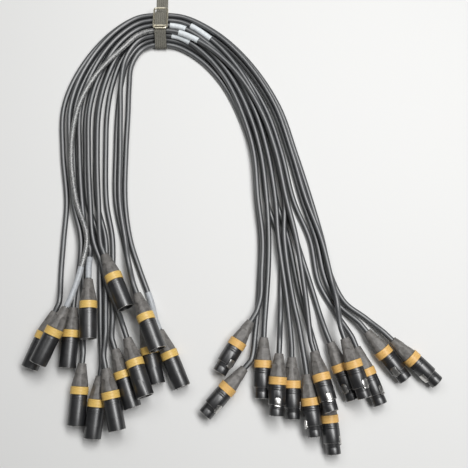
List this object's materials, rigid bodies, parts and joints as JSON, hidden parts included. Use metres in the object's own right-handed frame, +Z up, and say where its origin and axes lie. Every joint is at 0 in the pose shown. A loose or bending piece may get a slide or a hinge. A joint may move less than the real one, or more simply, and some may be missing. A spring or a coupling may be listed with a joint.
{
  "type": "xlr cable bundle",
  "caption": "Bundle of XLR microphone cables folded once and held by a buckled strap, with male connectors on one arm and latching female connectors on the other.",
  "frame": {"origin": "a point of the strap's flat underside, in the middle of its width, under the fold of the bundle", "axes": "+X along the cords where the strap holds them, from the male arm to the female arm; +Y towards the outer side of the fold, away from the connectors; +Z up"},
  "size_m": [0.4639, 0.551, 0.0394],
  "materials": {
    "cord": "satin black jacket",
    "boot": "matte dark grey",
    "ring": "amber with fine lines round it",
    "housing": "gloss black",
    "insert": "black",
    "latch": "polished",
    "strap": "olive ribbed webbing",
    "buckle": "pale brass wire"
  },
  "bodies": {
    "bundle": {"cord_01": "cord", "cord_02": "cord", "cord_03": "cord", "cord_04": "cord", "cord_05": "cord", "cord_06": "cord", "cord_07": "cord", "cord_08": "cord", "cord_09": "cord", "cord_10": "cord", "cord_11": "cord", "cord_12": "cord", "cord_13": "cord", "male_boot_01": "boot", "male_ring_01": "ring", "male_housing_01": "housing", "male_insert_01": "insert", "female_boot_01": "boot", "female_ring_01": "ring", "female_housing_01": "housing", "female_insert_01": "insert", "male_connector_02": "housing", "male_connector_03": "housing", "male_connector_04": "housing", "male_connector_05": "housing", "male_connector_06": "housing", "male_connector_07": "housing", "male_connector_08": "housing", "male_connector_09": "housing", "male_connector_10": "housing", "male_connector_11": "housing", "male_connector_12": "housing", "male_connector_13": "housing", "female_connector_02": "housing", "female_connector_03": "housing", "female_connector_04": "housing", "female_connector_05": "housing", "female_connector_06": "housing", "female_connector_07": "housing", "female_connector_08": "housing", "female_connector_09": "housing", "female_connector_10": "housing", "female_connector_11": "housing", "female_connector_12": "housing", "female_connector_13": "housing", "strap": "strap", "strap_buckle": "buckle"},
    "latch_01": {"latch_01": "latch"},
    "latch_02": {"latch_02": "latch"},
    "latch_03": {"latch_03": "latch"},
    "latch_04": {"latch_04": "latch"},
    "latch_05": {"latch_05": "latch"},
    "latch_06": {"latch_06": "latch"},
    "latch_07": {"latch_07": "latch"},
    "latch_08": {"latch_08": "latch"},
    "latch_09": {"latch_09": "latch"},
    "latch_10": {"latch_10": "latch"},
    "latch_11": {"latch_11": "latch"},
    "latch_12": {"latch_12": "latch"},
    "latch_13": {"latch_13": "latch"}
  },
  "joints": [
    {"name": "latch_press_01", "type": "hinge", "parent": "bundle", "child": "latch_01", "pos_m": [0.18956, -0.43905, 0.03486], "axis": [0.964, 0.2274, -0.138], "range_deg": [0, 6], "stiffness_Nm_per_rad": 0.5},
    {"name": "latch_press_02", "type": "hinge", "parent": "bundle", "child": "latch_02", "pos_m": [0.22835, -0.42476, 0.03395], "axis": [0.8259, 0.2604, -0.5], "range_deg": [0, 6], "stiffness_Nm_per_rad": 0.5},
    {"name": "latch_press_03", "type": "hinge", "parent": "bundle", "child": "latch_03", "pos_m": [0.16576, -0.46738, 0.01882], "axis": [0.257, 0.0302, 0.9659], "range_deg": [0, 6], "stiffness_Nm_per_rad": 0.5},
    {"name": "latch_press_04", "type": "hinge", "parent": "bundle", "child": "latch_04", "pos_m": [0.16195, -0.44833, 0.01145], "axis": [0.1736, -0.0006, -0.9848], "range_deg": [0, 6], "stiffness_Nm_per_rad": 0.5},
    {"name": "latch_press_05", "type": "hinge", "parent": "bundle", "child": "latch_05", "pos_m": [0.12837, -0.42669, 0.01437], "axis": [0.4995, -0.0218, -0.866], "range_deg": [0, 6], "stiffness_Nm_per_rad": 0.5},
    {"name": "latch_press_06", "type": "hinge", "parent": "bundle", "child": "latch_06", "pos_m": [0.08811, -0.40456, 0.01655], "axis": [0.6302, -0.3938, -0.6691], "range_deg": [0, 6], "stiffness_Nm_per_rad": 0.5},
    {"name": "latch_press_07", "type": "hinge", "parent": "bundle", "child": "latch_07", "pos_m": [0.29418, -0.42062, 0.01437], "axis": [0.3492, 0.3578, 0.866], "range_deg": [0, 6], "stiffness_Nm_per_rad": 0.5},
    {"name": "latch_press_08", "type": "hinge", "parent": "bundle", "child": "latch_08", "pos_m": [0.26266, -0.41308, 0.01723], "axis": [0.6473, 0.5021, 0.5736], "range_deg": [0, 6], "stiffness_Nm_per_rad": 0.5},
    {"name": "latch_press_09", "type": "hinge", "parent": "bundle", "child": "latch_09", "pos_m": [0.24848, -0.4317, 0.01623], "axis": [0.6592, 0.2557, -0.7071], "range_deg": [0, 6], "stiffness_Nm_per_rad": 0.5},
    {"name": "latch_press_10", "type": "hinge", "parent": "bundle", "child": "latch_10", "pos_m": [0.20805, -0.43081, 0.01676], "axis": [0.7152, 0.2745, 0.6428], "range_deg": [0, 6], "stiffness_Nm_per_rad": 0.5},
    {"name": "latch_press_11", "type": "hinge", "parent": "bundle", "child": "latch_11", "pos_m": [0.20366, -0.48425, 0.01222], "axis": [0.2576, 0.0248, -0.9659], "range_deg": [0, 6], "stiffness_Nm_per_rad": 0.5},
    {"name": "latch_press_12", "type": "hinge", "parent": "bundle", "child": "latch_12", "pos_m": [0.13648, -0.44446, 0.03032], "axis": [0.9943, -0.0608, -0.0872], "range_deg": [0, 6], "stiffness_Nm_per_rad": 0.5},
    {"name": "latch_press_13", "type": "hinge", "parent": "bundle", "child": "latch_13", "pos_m": [0.07501, -0.45295, 0.01565], "axis": [0.4851, -0.4217, -0.766], "range_deg": [0, 6], "stiffness_Nm_per_rad": 0.5}
  ]
}
